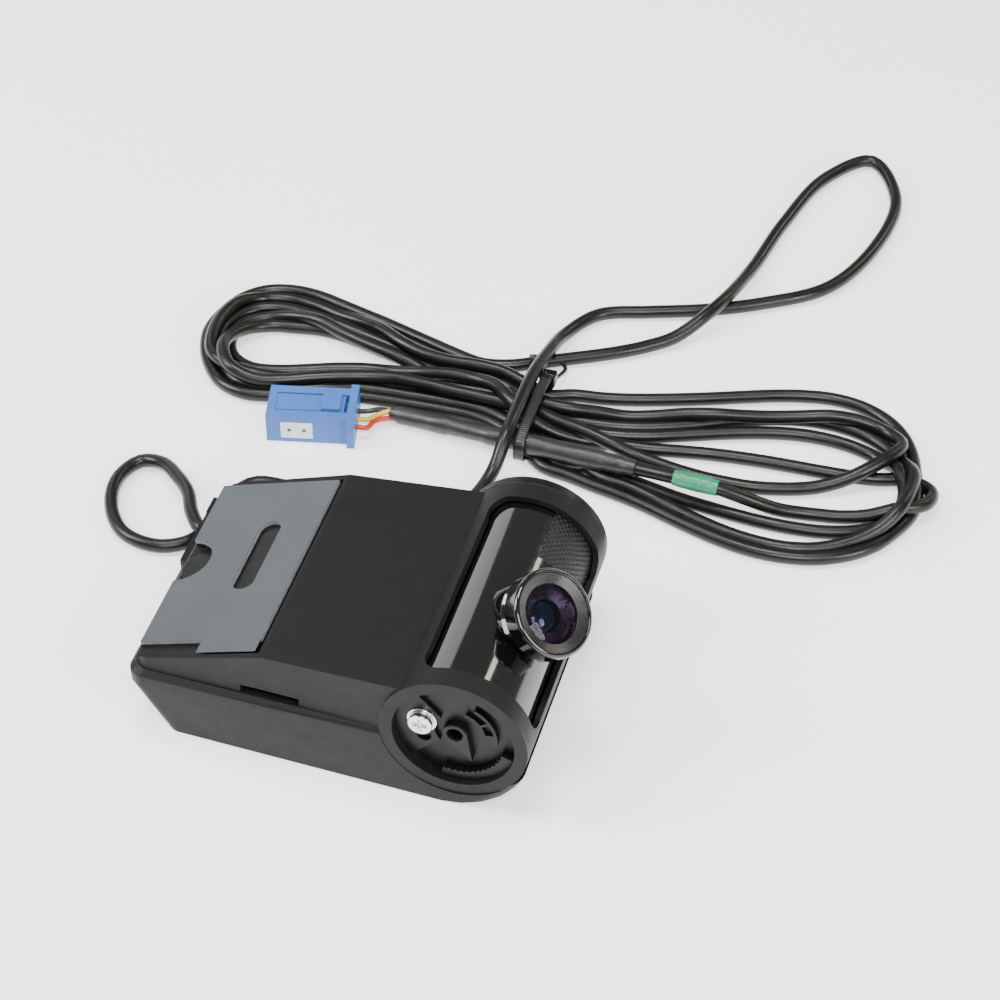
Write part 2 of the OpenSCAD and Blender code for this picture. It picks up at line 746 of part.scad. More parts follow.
// Lever over the connector: it bends at its front end and is pressed at its rear end
module connector_latch() translate(stand) color([0.3, 0.48, 0.8]) {
    on_plug() {
        block([latch_root, -3, plug_h - 1.2], [8.4, 3, plug_h - 0.1]);
        block([2.6, -3.1, plug_h - 0.2], [7.4, 3.1, plug_h + 0.8]);
    }
}

module terminals() translate(stand) color([0.8, 0.68, 0.35]) {
    on_plug() for (y = pin_y) translate([-8, y, pin_z]) rotate([0, 90, 0]) cylinder(r = 0.95, h = 17);
}

// Three wires side by side at the connector and bunched at the sleeve
module lead_wires() translate(stand) color([0.7, 0.1, 0.08]) {
    for (k = [0:2]) rod(plug_end(pin_y[k]), sleeve_from + wire_bunch[k], 0.7);
}

// Where a wire leaves the connector
function plug_end(y) =
    plug_at + [plug_l / 2 * cos(plug_yaw) - y * sin(plug_yaw),
               plug_l / 2 * sin(plug_yaw) + y * cos(plug_yaw), pin_z];

lower_shell();
upper_cover();
far_end_cap();
index_scale();
lock_tab();
main_board();
processor_shield();
backup_capacitors();
card_socket();
cord_socket();
flex_cable();
case_screws();
friction_washer();
cord_gland();
lens_barrel();
barrel_end_plate();
angle_pointer();
grip_panel();
pod_housing();
pod_bezel();
lens_hood();
front_lens();
lens_baffle();
inner_lens();
lens_tube();
image_sensor();
sensor_board();
lock_screw();
lock_washer();
mount_bracket();
adhesive_pad();
release_liner();
release_button();
cord_lead();
cord_hank();
cord_tail();
cable_tie();
wrap_sleeve();
heat_shrink();
marker_tape();
connector_housing();
connector_retainer();
connector_latch();
terminals();
lead_wires();
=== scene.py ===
import bpy, bmesh, math, json, random
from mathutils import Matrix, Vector

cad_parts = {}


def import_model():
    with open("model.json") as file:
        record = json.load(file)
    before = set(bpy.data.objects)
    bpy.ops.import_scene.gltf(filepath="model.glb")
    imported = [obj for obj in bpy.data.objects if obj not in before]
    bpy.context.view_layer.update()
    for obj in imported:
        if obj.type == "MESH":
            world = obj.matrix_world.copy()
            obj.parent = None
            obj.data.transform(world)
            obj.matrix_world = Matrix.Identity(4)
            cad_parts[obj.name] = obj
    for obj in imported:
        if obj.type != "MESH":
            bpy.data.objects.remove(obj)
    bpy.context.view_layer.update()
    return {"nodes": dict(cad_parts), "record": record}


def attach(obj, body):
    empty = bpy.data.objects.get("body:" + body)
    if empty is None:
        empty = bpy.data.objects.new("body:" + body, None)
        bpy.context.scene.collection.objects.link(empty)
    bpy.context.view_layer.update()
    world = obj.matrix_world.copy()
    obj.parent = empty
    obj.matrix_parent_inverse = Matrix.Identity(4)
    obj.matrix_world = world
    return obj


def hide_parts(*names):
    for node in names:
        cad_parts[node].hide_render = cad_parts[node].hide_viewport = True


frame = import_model()
record = frame["record"]
BODY = {n: b for b, ns in record["behaviour"]["bodies"].items() for n in ns}
SLOT = {s["node"]: s["material_slot"] for s in record["subparts"]}
MM = 0.001
STAND = Vector((0.2, -1.39, 0.0))


def at(x, y, z):
    """A point of the design, in mm, in the row's frame in metres."""
    return (Vector((x, y, z)) + STAND) * MM


# ---------------------------------------------------------------- camera
# Where the camera looks and how far away it is, in mm of the row's frame; how far it is turned and
# tipped down; its focal length in image widths; its sensor's width in mm
CAM_TARGET = Vector((15.06, 47.77, 15.0))
CAM_DISTANCE = 663.8
CAM_TURN, CAM_DROP = math.radians(16.25), math.radians(42.96)
CAM_FOCAL = 2.753
SENSOR = 36.0
fwd = Vector((-math.sin(CAM_TURN) * math.cos(CAM_DROP), math.cos(CAM_TURN) * math.cos(CAM_DROP),
              -math.sin(CAM_DROP)))
cam = bpy.data.objects.new("camera", bpy.data.cameras.new("camera"))
bpy.context.scene.collection.objects.link(cam)
cam.location = (CAM_TARGET - CAM_DISTANCE * fwd) * MM
cam.rotation_euler = fwd.to_track_quat("-Z", "Y").to_euler()
cam.data.sensor_width = SENSOR
cam.data.lens = CAM_FOCAL * SENSOR
cam.data.clip_start = 0.01
bpy.context.scene.camera = cam

# ---------------------------------------------------------------- cord
# Its diameter and its route's points, in mm: the lead from the gland to the hank, the hank's turns and
# the tail into the heat shrink. LEAD and TAIL were given point by point, with the photograph's
# fitted camera as a guide. HANK wasn't, and no loop here works it out: it is every third point of a
# separate relaxation program's result, and only its last two points were placed by hand
CORD_D = 3.5
LEAD = [
    (-49.5, 25, 9), (-53.5, 25.5, 9), (-57.5, 30, 8.6), (-62, 38.5, 7.2), (-67.5, 45, 5.4), (-74, 50.8, 3.2),
    (-80, 51.2, 1.9), (-83.2, 44, 1.8), (-81, 34, 1.8), (-74, 25.5, 1.8), (-64.1, 23.8, 1.8),
    (-57, 28.5, 1.8), (-54, 43, 1.8), (-50, 51.5, 1.8), (-38, 52.5, 1.8), (-6, 51, 1.8), (3, 59, 1.8),
    (6.6, 70, 3.4), (7.8, 78, 8.8), (7.9, 86, 9.7), (7.7, 104, 8.3), (8.2, 117, 5.4), (9.5, 129, 2.2),
    (16, 140, 1.8), (29, 145, 1.8), (43, 150, 1.8), (57, 157, 1.8), (72, 168, 1.8), (81, 188, 1.8),
    (83, 213, 1.8), (73, 229, 1.8), (62, 217, 1.8), (55, 193, 1.8), (51, 170, 2.2), (46, 147, 5.6),
    (38, 136, 2.4),
]
HANK = [
    (31.7, 130.8, 1.9), (25.4, 126.6, 1.8), (18.9, 123, 1.8), (12.2, 119.6, 1.8), (5.5, 116.2, 1.8),
    (-1.3, 113, 1.8), (-8.3, 111.7, 1.8), (-15.5, 113.4, 1.8), (-22.7, 115.7, 1.8), (-29.8, 118, 1.8),
    (-36.9, 120.3, 1.8), (-44.1, 122.4, 1.8), (-51.3, 124.5, 1.8), (-58.5, 126.4, 1.8),
    (-65.9, 126.7, 1.8), (-72.9, 124.6, 1.8), (-78, 119.5, 1.8), (-80.7, 112.6, 1.8),
    (-81.8, 105.3, 1.8), (-80.1, 97.9, 1.8), (-76.3, 91, 1.8), (-70.9, 85.5, 1.8), (-64.1, 83.3, 1.8),
    (-56.8, 84.5, 1.8), (-49.6, 86.9, 1.8), (-42.5, 89, 1.8), (-35.2, 90.2, 1.8), (-27.8, 90.8, 1.8),
    (-20.3, 91.1, 1.8), (-12.9, 91.3, 1.8), (-5.7, 91.2, 1.8), (0.9, 90, 1.8), (7.3, 86.8, 1.9),
    (12.6, 81.9, 1.9), (18, 77.6, 1.8), (25.1, 76.1, 1.8), (32.1, 74.3, 1.8), (39.3, 72.7, 1.8),
    (46.3, 70.7, 1.8), (53.3, 68.2, 1.8), (60.4, 65.8, 1.8), (67.7, 63.8, 1.8), (75.3, 62.6, 1.8),
    (82.9, 62.7, 1.8), (90.2, 64.2, 1.8), (97, 67.4, 1.8), (102.7, 72.2, 1.8), (106.9, 78.8, 1.8),
    (109.8, 85.9, 1.8), (110, 92.5, 1.8), (108.3, 100.5, 1.8), (106, 108.1, 1.8), (102.5, 114.4, 1.8),
    (97.1, 119.4, 1.8), (90.4, 122.5, 1.8), (83, 123.5, 1.8), (75.6, 122.6, 1.8), (68.4, 120.7, 1.8),
    (61.3, 118.2, 1.8), (54.3, 115.6, 1.8), (47.2, 113.1, 1.8), (40.1, 110.8, 1.8), (32.9, 108.7, 1.8),
    (25.6, 107.1, 1.8), (18.1, 106.2, 1.8), (11.7, 103.9, 2.1), (6.3, 104.7, 3.7), (-1, 106.9, 4.7),
    (-8.5, 107.3, 4.9), (-16.2, 107.2, 4.7), (-23.6, 108.3, 4.7), (-30.4, 110.9, 4.9),
    (-36.9, 114.8, 4.5), (-43.7, 118.2, 2.9), (-50.8, 120.5, 1.8), (-58, 122.5, 1.8), (-65.4, 123, 1.8),
    (-72.3, 120.8, 2.4), (-77.1, 115.6, 4.1), (-79.1, 108.3, 4.8), (-79, 100.7, 4.8), (-76.6, 93.7, 4.7),
    (-70.9, 89.8, 4.6), (-63.8, 89.6, 3.4), (-56.6, 91.3, 2.1), (-49.6, 93.7, 1.8), (-42.6, 95.5, 1.8),
    (-35.3, 96.5, 1.8), (-27.7, 97, 1.8), (-20.2, 97.2, 2.3), (-12.7, 97.4, 2.4), (-5.1, 97.3, 2.2),
    (2.7, 95.9, 1.8), (9.8, 92.7, 2.3), (15.7, 87.8, 1.8), (20.5, 83.6, 1.8), (26.6, 81, 2.1),
    (34.2, 76.9, 2.4), (41.1, 75.4, 2.4), (48.3, 73.3, 1.9), (55.4, 70.8, 1.8), (62.4, 68.4, 1.8),
    (69.5, 66.6, 1.8), (76.7, 65.7, 1.8), (83.9, 66, 1.8), (91, 68, 1.9), (97.6, 71.5, 2.8),
    (103.2, 76.2, 4.3), (107.2, 81.9, 6.9), (108.5, 89.5, 6.5), (108.1, 97.1, 5.4), (104.2, 103.7, 2.6),
    (99, 108.9, 1.8), (92.5, 112.1, 1.8), (85.3, 113.6, 1.8), (77.8, 113.5, 1.8), (70.4, 111.9, 1.8),
    (63.2, 109.4, 1.8), (56.4, 106.4, 1.8), (49.7, 103.1, 1.8), (42.7, 100.3, 1.8), (35.4, 98.1, 1.8),
    (28, 96.9, 1.8), (20.6, 96.8, 1.8), (13.5, 98.3, 2.3), (6.6, 101.4, 2), (-0, 105.3, 1.8),
    (-7.2, 107.1, 1.8), (-14.4, 108.2, 1.8), (-21.7, 109.6, 1.8), (-29, 111.1, 1.8), (-36.1, 113, 1.8),
    (-43.3, 115, 1.8), (-50.6, 117, 1.8), (-57.9, 118.3, 1.8), (-65.3, 118.9, 1.8), (-72.1, 117, 1.8),
    (-76.9, 111.8, 1.8), (-78.6, 104.8, 1.8), (-76.8, 98, 1.8), (-73.2, 92.1, 1.8), (-67.9, 87.6, 1.8),
    (-61, 86.9, 1.8), (-53.9, 88.8, 1.8), (-46.7, 91.1, 1.8), (-39.3, 92.8, 1.8), (-31.6, 93.7, 1.8),
    (-24.1, 94.1, 1.8), (-16.6, 94.4, 1.8), (-9.2, 94.5, 1.8), (-1.8, 93.9, 1.8), (5.1, 91.6, 1.8),
    (11.2, 88, 2.6), (16.2, 82.9, 1.8), (22.4, 79.5, 1.8), (31.5, 80.5, 1.8), (38.4, 79.1, 1.8),
    (45.6, 77.4, 1.8), (53, 75.7, 1.8), (60.4, 74.6, 1.8), (67.9, 73.7, 1.8), (75.4, 73.1, 1.8),
    (82.9, 73.1, 1.8), (90.3, 73.9, 1.8), (97.4, 76.1, 1.8), (103.4, 79.9, 1.8), (106.6, 85.9, 1.8),
    (106.8, 92.8, 2.9), (103.9, 99.1, 4), (98.7, 103.7, 1.8), (91.8, 106.5, 1.8), (84.4, 107.6, 1.8),
    (77, 107.4, 1.8), (69.6, 106, 1.8), (62.4, 103.9, 1.8), (55.3, 101.4, 1.8), (48.3, 98.8, 1.8),
    (41.2, 96.2, 1.8), (34, 94.4, 1.8), (26.5, 93.5, 1.8), (18.9, 93.8, 1.8), (11.6, 95.4, 2.3),
    (5.2, 98.5, 1.8), (-1.4, 102.3, 1.8), (-8.9, 104.1, 1.8), (-16.2, 105.3, 1.8), (-23.6, 106.9, 1.8),
    (-30.9, 108.3, 1.8), (-38.1, 110.3, 1.8), (-45.3, 112.3, 1.8), (-52.6, 113.2, 1.8),
    (-60, 112.3, 1.8), (-67, 110.9, 1.8), (-72.1, 106.5, 3.2), (-74.4, 99.8, 5.1), (-73.2, 92.8, 7.1),
    (-69, 87.1, 6.6), (-62.1, 86, 4.9), (-54.8, 87.7, 4.8), (-47.8, 90.5, 4.9), (-40.7, 93.2, 4.8),
    (-33.7, 95.3, 4.7), (-26.5, 96.4, 5), (-19, 96, 5.2), (-11.4, 95.6, 5), (-3.8, 95.5, 4.8),
    (3.8, 95.2, 4.6), (11, 93.7, 5.3), (17.8, 91.8, 5.1), (25, 90.2, 4.9), (32.3, 88.5, 4),
    (39.8, 87.5, 2.3), (47.2, 86.3, 1.8), (54.6, 85.1, 1.8), (62.1, 84.6, 1.8), (69.6, 84.8, 1.8),
    (76.9, 86.2, 1.8), (84, 88.6, 1.8), (90.7, 91.7, 3), (96.7, 96, 4.9), (101.6, 101.9, 5.7),
    (103.3, 108.1, 4.4), (98.9, 112.7, 3.3), (91.8, 114.1, 4.3), (84.1, 113.3, 4.9), (76.9, 111.6, 4.4),
    (69.8, 109.6, 4.2), (62.6, 107.5, 4.5), (55.3, 105.6, 4.9), (47.9, 104.1, 4.4), (40.6, 102.5, 3.2),
    (33.4, 100.8, 2.8), (26.2, 99.2, 3.9), (18.9, 97.3, 5), (11.5, 97.2, 5.3), (3.9, 98.8, 4.8),
    (-3.5, 100.1, 3), (-10.6, 101.2, 1.8), (-18.1, 102.6, 1.9), (-25.3, 104.7, 3.5), (-32.6, 106.7, 4.2),
    (-39.8, 108.7, 4.2), (-46.8, 110.9, 4.4), (-54, 113.4, 4.8), (-61.6, 115, 3.1), (-68.9, 113.8, 1.8),
    (-74.2, 109.4, 1.8), (-75, 102.7, 1.8), (-71.9, 96.3, 1.8), (-65.8, 93.2, 1.8), (-58.7, 94, 1.8),
    (-51.6, 96.4, 1.8), (-44.5, 99, 1.8), (-37.3, 101, 1.8), (-29.9, 101.9, 2), (-22.4, 101.1, 4.1),
    (-14.8, 101.7, 5), (-7.5, 101.4, 5.4), (-0.9, 98.8, 6.9), (4.9, 93.8, 7.3), (11.2, 90, 5.4),
    (18.4, 89.1, 3.3), (25.9, 89.9, 1.8), (33.4, 90.7, 1.8), (40.7, 91.3, 1.8), (48.1, 92.5, 1.8),
    (55.5, 93.7, 1.8), (62.9, 94.5, 1.8), (70.4, 95, 1.8), (77.9, 95.2, 1.8), (85.4, 95.3, 1.8),
    (93, 95.6, 1.8), (99.8, 96.5, 1.8), (106.7, 98.2, 1.8), (113.2, 95, 2.3), (112.6, 88.3, 3.9),
    (106.4, 84.1, 4.6), (99.4, 81.4, 2.8), (92.2, 80.1, 1.8), (84.8, 79.1, 1.8), (77.6, 77.9, 2.6),
    (63, 75, 8.4), (57.5, 75.45, 8.4),
]
TAIL = [(52, 75.9, 8.4), (46, 77.3, 7.4), (41, 78.3, 6.6), (34, 78.9, 6.2)]


def smooth_path(points, step):
    """A smooth curve through the points, at even steps in mm."""
    p = [Vector(q) for q in points]
    p = [2 * p[0] - p[1]] + p + [2 * p[-1] - p[-2]]
    out = []
    for i in range(1, len(p) - 2):
        n = max(2, int((p[i + 1] - p[i]).length / 0.5))
        t0 = 0.0
        t1 = t0 + (p[i] - p[i - 1]).length ** 0.5
        t2 = t1 + (p[i + 1] - p[i]).length ** 0.5
        t3 = t2 + (p[i + 2] - p[i + 1]).length ** 0.5
        for k in range(n):
            t = t1 + (t2 - t1) * k / n
            a1 = p[i - 1].lerp(p[i], (t - t0) / (t1 - t0))
            a2 = p[i].lerp(p[i + 1], (t - t1) / (t2 - t1))
            a3 = p[i + 1].lerp(p[i + 2], (t - t2) / (t3 - t2))
            b1 = a1.lerp(a2, (t - t0) / (t2 - t0))
            b2 = a2.lerp(a3, (t - t1) / (t3 - t1))
            out.append(b1.lerp(b2, (t - t1) / (t2 - t1)))
    out.append(p[-2])
    even, left = [out[0]], step
    for q0, q1 in zip(out, out[1:]):
        d = (q1 - q0).length
        while d > left:
            q0 = q0.lerp(q1, left / d)
            even.append(q0)
            d -= left
            left = step
        left -= d
    even.append(out[-1])
    return even


def curve(name, points, radius, step):
    """A round cord, wire or strand on a smooth path kept above the floor, in mm; its length in metres."""
    path = smooth_path(points, step)
    data = bpy.data.curves.new(name, "CURVE")
    data.dimensions = "3D"
    data.bevel_depth = radius * MM
    data.bevel_resolution = 6
    data.use_fill_caps = True
    spline = data.splines.new("POLY")
    spline.points.add(len(path) - 1)
    for sp, q in zip(spline.points, path):
        sp.co = (*at(q.x, q.y, max(q.z, radius + 0.02)), 1.0)
    spline.use_smooth = True
    o = bpy.data.objects.new(name, data)
    bpy.context.scene.collection.objects.link(o)
    length = sum((q1 - q0).length for q0, q1 in zip(path, path[1:])) * MM
    return o, length


cord, cord_length = curve("cord", LEAD + HANK + TAIL, CORD_D / 2, 2.0)


# ---------------------------------------------------------------- materials
def node(tree, kind, **inputs):
    """A shader node with its inputs set."""
    n = tree.nodes.new(kind)
    for key, value in inputs.items():
        n.inputs[key].default_value = value
    return n


def material(name, col, rough, metal=0.0, shade=0.12, patch=9.0, grain=0.25, depth=0.02, rough_by=0.08,
             coat=0.0, coat_rough=0.1, wave=None, **extra):
    """A procedural finish: colour patches, a varying roughness and a grain bump; sizes in mm."""
    m = bpy.data.materials.new(name)
    m.use_nodes = True
    t = m.node_tree
    b = t.nodes["Principled BSDF"]
    b.inputs["Base Color"].default_value = (*col, 1)
    b.inputs["Roughness"].default_value = rough
    b.inputs["Metallic"].default_value = metal
    b.inputs["Coat Weight"].default_value = coat
    b.inputs["Coat Roughness"].default_value = coat_rough
    for key, value in extra.items():
        b.inputs[key.replace("_", " ")].default_value = value
    co = t.nodes.new("ShaderNodeTexCoord")
    big = node(t, "ShaderNodeTexNoise", Scale=1000.0 / patch, Detail=4.0, Roughness=0.6)
    ramp = t.nodes.new("ShaderNodeValToRGB")
    ramp.color_ramp.elements[0].position = 0.3
    ramp.color_ramp.elements[1].position = 0.7
    ramp.color_ramp.elements[0].color = (*[c * (1 - shade) for c in col], 1)
    ramp.color_ramp.elements[1].color = (*[min(1, c * (1 + shade)) for c in col], 1)
    mid = node(t, "ShaderNodeTexNoise", Scale=1000.0 / (patch * 0.35), Detail=6.0, Roughness=0.7)
    span = t.nodes.new("ShaderNodeMapRange")
    span.inputs["From Min"].default_value = 0.3
    span.inputs["From Max"].default_value = 0.7
    span.inputs["To Min"].default_value = max(0.01, rough - rough_by)
    span.inputs["To Max"].default_value = min(1.0, rough + rough_by)
    fine = node(t, "ShaderNodeTexNoise", Scale=1000.0 / grain, Detail=3.0, Roughness=0.55)
    bump = t.nodes.new("ShaderNodeBump")
    bump.inputs["Strength"].default_value = 1.0
    bump.inputs["Distance"].default_value = depth * MM
    for n in (big, mid, fine):
        t.links.new(co.outputs["Object"], n.inputs["Vector"])
    t.links.new(big.outputs["Fac"], ramp.inputs["Fac"])
    t.links.new(ramp.outputs["Color"], b.inputs["Base Color"])
    t.links.new(mid.outputs["Fac"], span.inputs["Value"])
    t.links.new(span.outputs["Result"], b.inputs["Roughness"])
    t.links.new(fine.outputs["Fac"], bump.inputs["Height"])
    t.links.new(bump.outputs["Normal"], b.inputs["Normal"])
    if wave:
        # A second, ordered relief under the grain: its height comes from wave(tree, coordinates)
        relief = t.nodes.new("ShaderNodeBump")
        relief.inputs["Distance"].default_value = wave[1] * MM
        t.links.new(wave[0](t, co), relief.inputs["Height"])
        t.links.new(relief.outputs["Normal"], bump.inputs["Normal"])
    return m


def math_node(t, op, *args):
    """The result of a maths node; each argument is a number or a socket."""
    n = t.nodes.new("ShaderNodeMath")
    n.operation = op
    for i, v in enumerate(args):
        if isinstance(v, (int, float)):
            n.inputs[i].default_value = v
        else:
            t.links.new(v, n.inputs[i])
    return n.outputs[0]


def mesh_dots(pitch, radius, cx, cz):
    """A round-holed mesh on the barrel: pitch along it and around it, in mm."""
    def build(t, co):
        sep = t.nodes.new("ShaderNodeSeparateXYZ")
        t.links.new(co.outputs["Object"], sep.inputs[0])
        x = math_node(t, "SUBTRACT", sep.outputs["X"], cx * MM)
        z = math_node(t, "SUBTRACT", sep.outputs["Z"], cz * MM)
        turn = math_node(t, "ARCTAN2", z, x)
        u = math_node(t, "SINE", math_node(t, "MULTIPLY", turn, 2 * math.pi * radius / pitch))
        v = math_node(t, "SINE", math_node(t, "MULTIPLY", sep.outputs["Y"], 2000 * math.pi / pitch))
        return math_node(t, "SMOOTH_MIN", math_node(t, "MULTIPLY", u, v), 0.35, 0.2)
    return build


def ridges(pitch, axis):
    """Fine turned or moulded lines across an axis, pitch in mm."""
    def build(t, co):
        sep = t.nodes.new("ShaderNodeSeparateXYZ")
        t.links.new(co.outputs["Object"], sep.inputs[0])
        return math_node(t, "SINE", math_node(t, "MULTIPLY", sep.outputs[axis], 2000 * math.pi / pitch))
    return build


# The grip mesh: its surface's radius and axis in the row's frame, its holes' pitch and depth, in mm
BARREL_R, BARREL_X, BARREL_Z = 15.2, 28.3, 20.6
MESH_PITCH, MESH_DEPTH = 1.6, 0.14
M = {
    "black_shell": material("black_shell", (0.0052, 0.0052, 0.0055), 0.5, grain=0.28, depth=0.03,
                            shade=0.12, rough_by=0.06, Specular_IOR_Level=0.2),
    "dark_plastic": material("dark_plastic", (0.0038, 0.0038, 0.004), 0.38, grain=0.35, depth=0.012,
                             Specular_IOR_Level=0.22),
    "gloss_black": material("gloss_black", (0.002, 0.002, 0.0023), 0.09, grain=1.6, depth=0.002,
                            rough_by=0.05, coat=0.5, coat_rough=0.04),
    "grip_black": material("grip_black", (0.016, 0.016, 0.017), 0.42, grain=0.3, depth=0.01,
                           Specular_IOR_Level=0.3,
                           wave=(mesh_dots(MESH_PITCH, BARREL_R, BARREL_X, BARREL_Z), MESH_DEPTH)),
    "grey_pad": material("grey_pad", (0.16, 0.165, 0.17), 0.85, grain=0.5, depth=0.08, shade=0.2,
                         patch=3.0),
    "grey_film": material("grey_film", (0.045, 0.052, 0.058), 0.42, grain=2.2, depth=0.012, shade=0.09,
                          patch=14.0, rough_by=0.05, coat=0.1, coat_rough=0.35),
    "screw_steel": material("screw_steel", (0.72, 0.72, 0.71), 0.22, metal=1.0, grain=0.2, depth=0.006,
                            shade=0.08, patch=1.5, rough_by=0.1),
    "shield_steel": material("shield_steel", (0.6, 0.6, 0.6), 0.3, metal=1.0, grain=0.4, depth=0.006,
                             wave=(ridges(0.3, "X"), 0.003)),
    "board_green": material("board_green", (0.012, 0.13, 0.045), 0.35, grain=0.8, depth=0.02, shade=0.25),
    "capacitor_sleeve": material("capacitor_sleeve", (0.02, 0.028, 0.07), 0.3, grain=0.6, depth=0.01),
    "ivory_plastic": material("ivory_plastic", (0.72, 0.68, 0.56), 0.45, grain=0.4, depth=0.01, shade=0.05),
    "flex_amber": material("flex_amber", (0.45, 0.2, 0.03), 0.25, grain=0.6, depth=0.006,
                           wave=(ridges(0.5, "Y"), 0.02)),
    "hood_grey": material("hood_grey", (0.005, 0.005, 0.0055), 0.3, grain=0.25, depth=0.02,
                          wave=(ridges(0.4, "Y"), 0.004)),
    "lens_glass": material("lens_glass", (0.5, 0.42, 0.58), 0.02, grain=6.0, depth=0.0005, shade=0.02,
                           rough_by=0.01, Transmission_Weight=1.0, IOR=1.22),
    "inner_glass": material("inner_glass", (0.004, 0.02, 0.026), 0.06, grain=2.5, depth=0.002, shade=0.5,
                            patch=1.6, rough_by=0.03, coat=1.0, coat_rough=0.03,
                            Coat_Tint=(0.25, 0.75, 0.85, 1)),
    "baffle_purple": material("baffle_purple", (0.011, 0.003, 0.012), 0.3, grain=0.5, depth=0.01, coat=0.3,
                              wave=(ridges(0.35, "Z"), 0.01)),
    "cord_pvc": material("cord_pvc", (0.0042, 0.0038, 0.003), 0.34, grain=0.9, depth=0.03, shade=0.22,
                         patch=22.0, rough_by=0.1, Specular_IOR_Level=0.36),
    "tie_nylon": material("tie_nylon", (0.006, 0.006, 0.006), 0.35, grain=0.5, depth=0.015,
                          wave=(ridges(0.7, "Y"), 0.03)),
    "sleeve_pvc": material("sleeve_pvc", (0.011, 0.009, 0.0085), 0.42, grain=1.6, depth=0.09, shade=0.3,
                           patch=5.0, rough_by=0.12, coat=0.2, coat_rough=0.3),
    "tape_green": material("tape_green", (0.012, 0.19, 0.095), 0.38, grain=1.1, depth=0.03, shade=0.18,
                           patch=4.0, coat=0.15, coat_rough=0.3),
    "plug_blue": material("plug_blue", (0.04, 0.125, 0.4), 0.4, grain=0.35, depth=0.012, shade=0.08,
                          Subsurface_Weight=0.15, Subsurface_Scale=0.001),
    "plug_white": material("plug_white", (0.68, 0.71, 0.69), 0.42, grain=0.35, depth=0.01, shade=0.05,
                           Subsurface_Weight=0.2, Subsurface_Scale=0.001),
    "contact_brass": material("contact_brass", (0.65, 0.5, 0.2), 0.28, metal=1.0, grain=0.3, depth=0.006),
    "wire_red": material("wire_red", (0.42, 0.018, 0.012), 0.35, grain=0.5, depth=0.01),
    "wire_yellow": material("wire_yellow", (0.55, 0.4, 0.03), 0.35, grain=0.5, depth=0.01),
    "wire_black": material("wire_black", (0.015, 0.015, 0.015), 0.35, grain=0.5, depth=0.01),
    # Painted shade: the housing's blue at half strength, for the inside of the retainer's key holes
    "hole_shade_navy": material("hole_shade_navy", (0.02, 0.06, 0.2), 0.5, grain=0.35, depth=0.012),
}


def paint_hole_shade(m):
    """Paints shade into the mesh panel's holes, darker where its relief is deeper."""
    t = m.node_tree
    bumps = [n for n in t.nodes if n.type == "BUMP"]
    relief = max(bumps, key=lambda n: n.inputs["Distance"].default_value)
    # Painted shade: the holes' floors near black, the mesh's top lighter
    ramp = t.nodes.new("ShaderNodeValToRGB")
    ramp.color_ramp.elements[0].position = 0.0
    ramp.color_ramp.elements[0].color = (0.014, 0.014, 0.015, 1)
    ramp.color_ramp.elements[1].position = 0.3
    ramp.color_ramp.elements[1].color = (0.003, 0.003, 0.003, 1)
    t.links.new(relief.inputs["Height"].links[0].from_socket, ramp.inputs["Fac"])
    t.links.new(ramp.outputs["Color"], t.nodes["Principled BSDF"].inputs["Base Color"])
    relief.invert = True


# Painted shade in the grip mesh's holes
paint_hole_shade(M["grip_black"])


def dress(o, mat, body, slot, *nodes):
    """Gives a piece its finish and its body, and hides the CAD nodes that it stands for."""
    o.data.materials.clear()
    o.data.materials.append(M[mat])
    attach(o, body)
    if nodes:
        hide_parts(*nodes)
    return o


def obj(name, bm):
    """A new object from a finished bmesh."""
    me = bpy.data.meshes.new(name)
    bm.to_mesh(me)
    bm.free()
    o = bpy.data.objects.new(name, me)
    bpy.context.scene.collection.objects.link(o)
    return o


def soften(o, width, segments=3, angle=32):
    """Small edge rounds, with smooth shading elsewhere."""
    for p in o.data.polygons:
        p.use_smooth = True
    if width:
        bev = o.modifiers.new("edges", "BEVEL")
        bev.width = width * MM
        bev.segments = segments
        bev.limit_method = "ANGLE"
        bev.angle_limit = math.radians(angle)
        bev.harden_normals = True
        bev.use_clamp_overlap = True
    else:
        o.data.set_sharp_from_angle(angle=math.radians(angle))
    o.modifiers.new("normals", "WEIGHTED_NORMAL").keep_sharp = True
    return o


def refine(name, width=0.25, angle=32, mat=None, segments=3):
    """A detailed copy of a CAD node: welded, flat faces joined, edges rounded."""
    src = frame["nodes"][name]
    me = src.data.copy()
    o = bpy.data.objects.new(name + "_piece", me)
    o.matrix_world = src.matrix_world
    bpy.context.scene.collection.objects.link(o)
    bm = bmesh.new()
    bm.from_mesh(me)
    bmesh.ops.remove_doubles(bm, verts=bm.verts, dist=1e-6)
    bmesh.ops.dissolve_limit(bm, angle_limit=math.radians(0.6), verts=bm.verts, edges=bm.edges)
    bm.to_mesh(me)
    bm.free()
    if me.has_custom_normals:
        with bpy.context.temp_override(object=o, active_object=o, selected_objects=[o]):
            bpy.ops.mesh.customdata_custom_splitnormals_clear()
    soften(o, width, segments, angle)
    return dress(o, mat or SLOT[name], BODY[name], SLOT[name], name)


